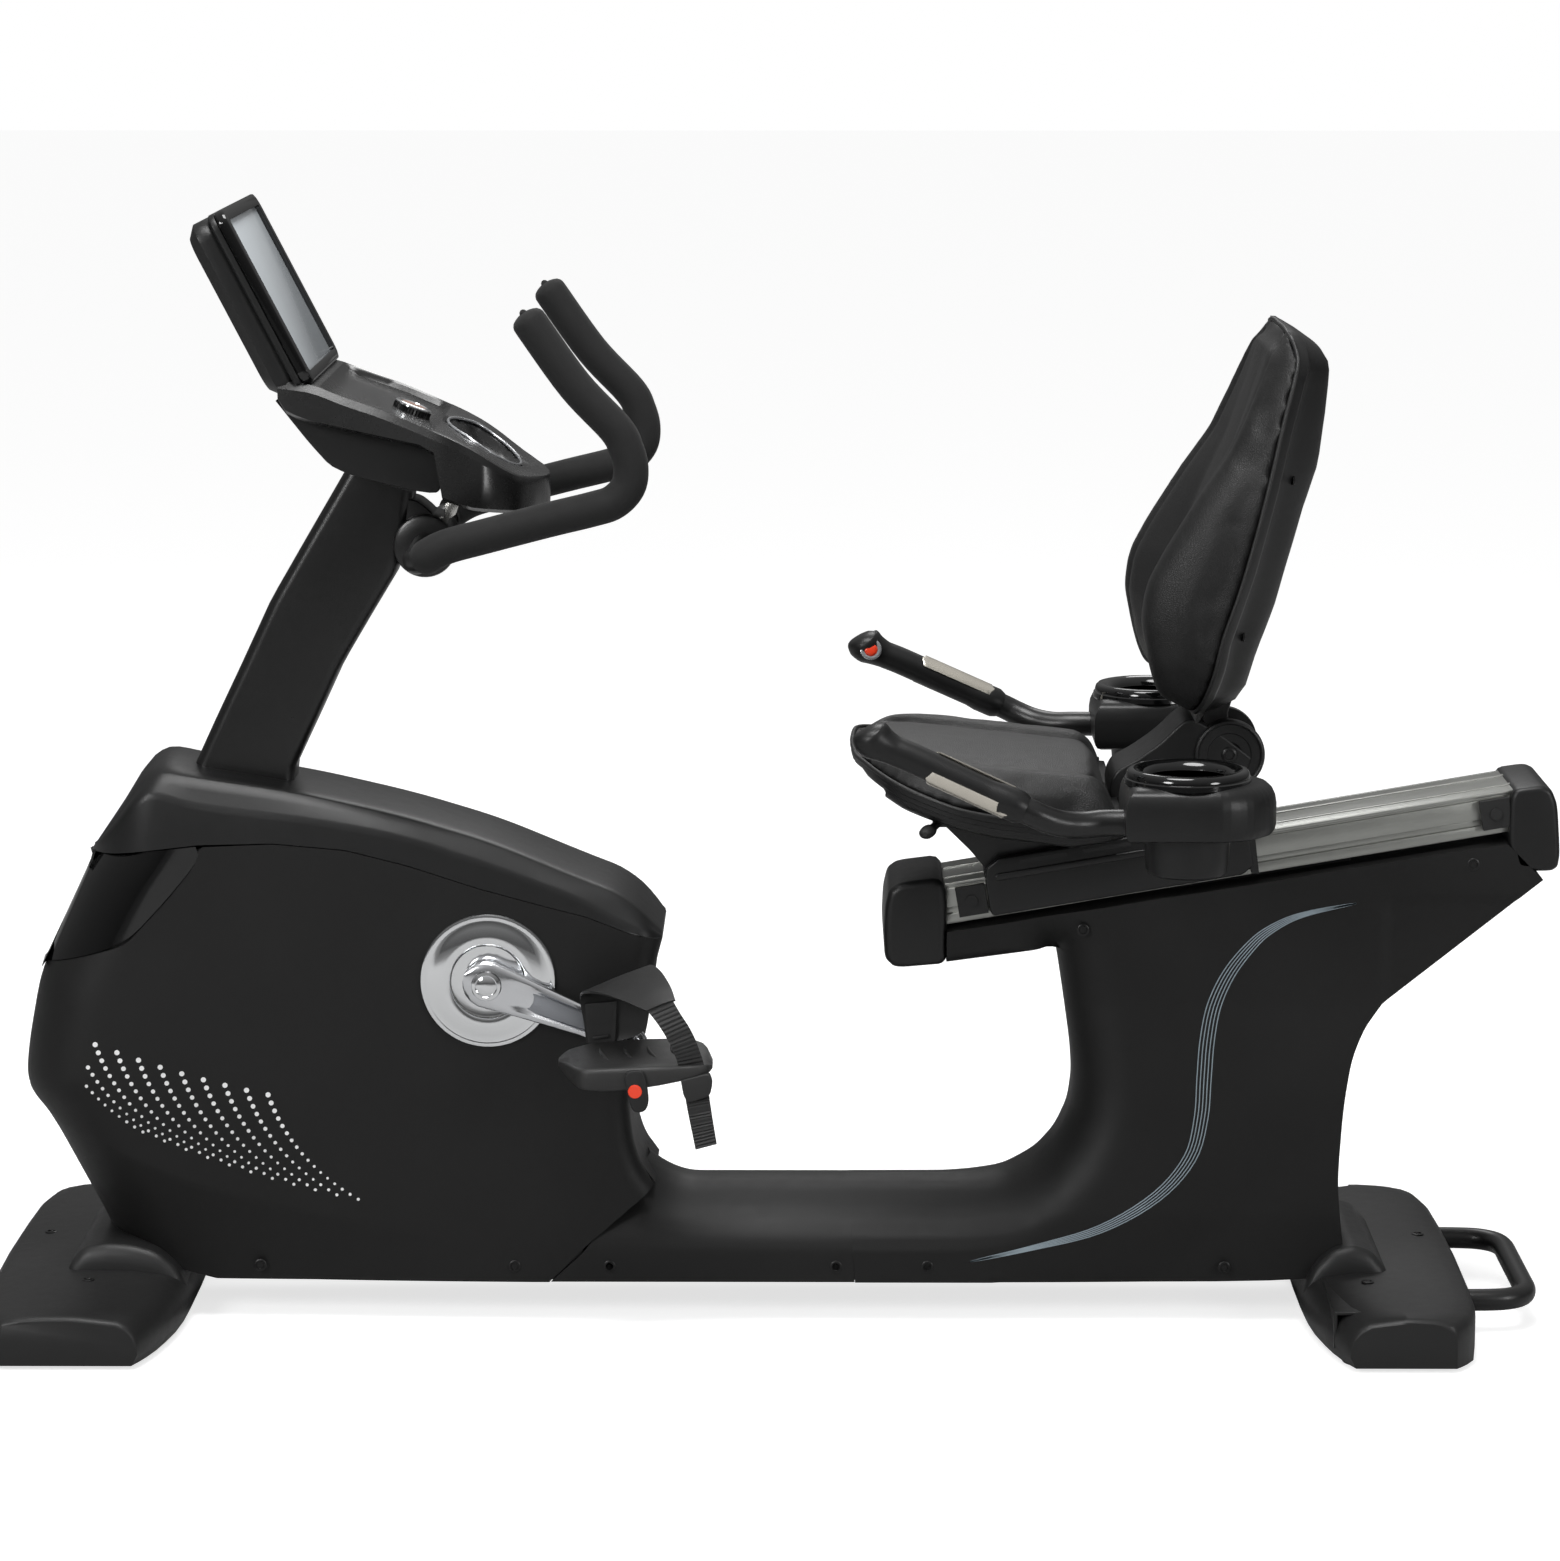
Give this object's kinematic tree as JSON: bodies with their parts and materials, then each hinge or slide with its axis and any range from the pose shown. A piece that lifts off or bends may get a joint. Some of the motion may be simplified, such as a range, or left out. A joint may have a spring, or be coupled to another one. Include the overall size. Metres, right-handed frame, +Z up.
{
  "type": "recumbent exercise bike",
  "caption": "Recumbent exercise bike with a belt-driven flywheel, sliding bucket seat on an inclined rail, side grips with cup holders, console and bullhorn handlebar.",
  "frame": {"origin": "on the floor, under the middle of the machine's length and width", "axes": "+X along the machine from the console towards the back of the seat rail, +Y to the rider's right, +Z up"},
  "size_m": [1.708, 0.724, 1.2192],
  "materials": {
    "frame_steel": "satin black powder coat",
    "cover_plastic": "fine-textured matte black moulding",
    "top_plastic": "satin black moulding",
    "gloss_black": "polished black",
    "foot_plastic": "satin black moulding",
    "rubber_black": "matt",
    "rail_aluminium": "drawn and brushed",
    "mast_paint": "satin black paint",
    "foam_grip": "closed-cell foam",
    "tube_paint": "satin black paint",
    "console_shell": "satin black moulding",
    "screen_face": "pale grey, smooth",
    "deck_plastic": "semi-gloss black",
    "chrome": "polished",
    "cast_arm": "polished casting",
    "pedal_plastic": "moulded grey-black",
    "strap_rubber": "moulded rubber",
    "leatherette": "fine-grained black leatherette",
    "sensor_steel": "brushed",
    "button_red": "orange-red",
    "knob_ring": "black and silver knob",
    "flywheel_iron": "turned",
    "bearing_steel": "ground",
    "belt_rubber": "ribbed",
    "pulley_plastic": "glass-filled",
    "brake_metal": "cast",
    "screw_black": "black oxide"
  },
  "bodies": {
    "frame": {"base_beam": "frame_steel", "front_upright": "frame_steel", "rear_post": "frame_steel", "stabilizers": "frame_steel", "levelling_feet": "rubber_black", "front_foot_cover": "foot_plastic", "rear_foot_cover": "foot_plastic", "foot_collars": "foot_plastic", "lift_handle": "tube_paint", "left_side_cover": "cover_plastic", "right_side_cover": "cover_plastic", "top_cover": "top_plastic", "front_window": "gloss_black", "beam_cover": "cover_plastic", "left_rear_cover": "cover_plastic", "right_rear_cover": "cover_plastic", "seat_rail": "rail_aluminium", "rail_end_caps": "top_plastic", "rail_stops": "rubber_black", "cover_screws": "screw_black", "mast": "mast_paint", "handlebar_clamp": "mast_paint", "handlebar": "tube_paint", "handlebar_grips": "foam_grip", "console_back": "console_shell", "console_bezel": "gloss_black", "console_screen": "screen_face", "control_deck": "deck_plastic", "crank_bearings": "bearing_steel", "drive_belt": "belt_rubber"},
    "crank": {"crank_axle": "bearing_steel", "drive_pulley": "pulley_plastic", "crank_discs": "chrome", "left_crank_arm": "cast_arm", "right_crank_arm": "cast_arm"},
    "left_pedal": {"left_pedal": "pedal_plastic", "left_pedal_strap": "strap_rubber"},
    "right_pedal": {"right_pedal": "pedal_plastic", "right_pedal_strap": "strap_rubber"},
    "flywheel": {"flywheel": "flywheel_iron"},
    "idler": {"idler_pulley": "pulley_plastic"},
    "brake_arm": {"brake_arm": "brake_metal"},
    "seat": {"carriage_frame": "frame_steel", "carriage_cover": "top_plastic", "seat_pan": "top_plastic", "seat_cushion": "leatherette", "side_handle_tubes": "tube_paint", "hand_grips": "top_plastic", "sensor_plates": "sensor_steel", "cup_holders": "console_shell", "hinge_housing": "top_plastic"},
    "backrest": {"backrest_bracket": "frame_steel", "backrest_shell": "console_shell", "backrest_cushion": "leatherette"},
    "seat_lever": {"seat_lever": "tube_paint"},
    "left_grip_button": {"left_grip_button": "button_red"},
    "right_grip_button": {"right_grip_button": "button_red"},
    "console_knob": {"console_knob": "knob_ring"},
    "console_key": {"console_key": "deck_plastic"},
    "transport_wheels": {"transport_wheels": "rubber_black"}
  },
  "joints": [
    {"name": "crank_spin", "type": "hinge", "parent": "frame", "child": "crank", "pos_m": [-0.308, 0, 0.383], "axis": [0, 1, 0], "continuous": true},
    {"name": "left_pedal_spin", "type": "hinge", "parent": "crank", "child": "left_pedal", "pos_m": [-0.14972, -0.17, 0.32097], "axis": [0, 1, 0], "continuous": true},
    {"name": "right_pedal_spin", "type": "hinge", "parent": "crank", "child": "right_pedal", "pos_m": [-0.46628, 0.17, 0.44503], "axis": [0, 1, 0], "continuous": true},
    {"name": "flywheel_spin", "type": "hinge", "parent": "frame", "child": "flywheel", "pos_m": [-0.58, 0, 0.29], "axis": [0, 1, 0], "continuous": true},
    {"name": "idler_spin", "type": "hinge", "parent": "frame", "child": "idler", "pos_m": [-0.44, 0.05, 0.23474], "axis": [0, 1, 0], "continuous": true},
    {"name": "brake_arm_swing", "type": "hinge", "parent": "frame", "child": "brake_arm", "pos_m": [-0.594, -0.068, 0.454], "axis": [0, 1, 0], "range_deg": [-8, 0]},
    {"name": "seat_slide", "type": "slide", "parent": "frame", "child": "seat", "axis": [0.9859, 0, 0.1676], "range_m": [0, 0.24]},
    {"name": "backrest_recline", "type": "hinge", "parent": "seat", "child": "backrest", "pos_m": [0.496, 0, 0.624], "axis": [0, 1, 0], "range_deg": [-4, 12]},
    {"name": "seat_lever_pull", "type": "hinge", "parent": "seat", "child": "seat_lever", "pos_m": [0.185, -0.072, 0.56], "axis": [0, 0, -1], "range_deg": [0, 18], "stiffness_Nm_per_rad": 1, "springref_deg": -5.73},
    {"name": "left_button_press", "type": "slide", "parent": "seat", "child": "left_grip_button", "axis": [0, -1, 0], "range_m": [0, 0.0015], "stiffness_N_per_m": 400, "springref_m": -0.001},
    {"name": "right_button_press", "type": "slide", "parent": "seat", "child": "right_grip_button", "axis": [0, 1, 0], "range_m": [0, 0.0015], "stiffness_N_per_m": 400, "springref_m": -0.001},
    {"name": "console_knob_turn", "type": "hinge", "parent": "frame", "child": "console_knob", "pos_m": [-0.394, 0, 0.984], "axis": [0.3649, 0, 0.9311], "continuous": true},
    {"name": "console_key_press", "type": "slide", "parent": "frame", "child": "console_key", "axis": [-0.3649, 0, -0.9311], "range_m": [0, 0.0015], "stiffness_N_per_m": 400, "springref_m": -0.001},
    {"name": "transport_wheels_spin", "type": "hinge", "parent": "frame", "child": "transport_wheels", "pos_m": [-0.828, 0, 0.028], "axis": [0, 1, 0], "continuous": true}
  ],
  "couplings": [
    {"joint": "flywheel_spin", "follows": "crank_spin", "ratio": 4},
    {"joint": "idler_spin", "follows": "crank_spin", "ratio": -5.4545}
  ]
}
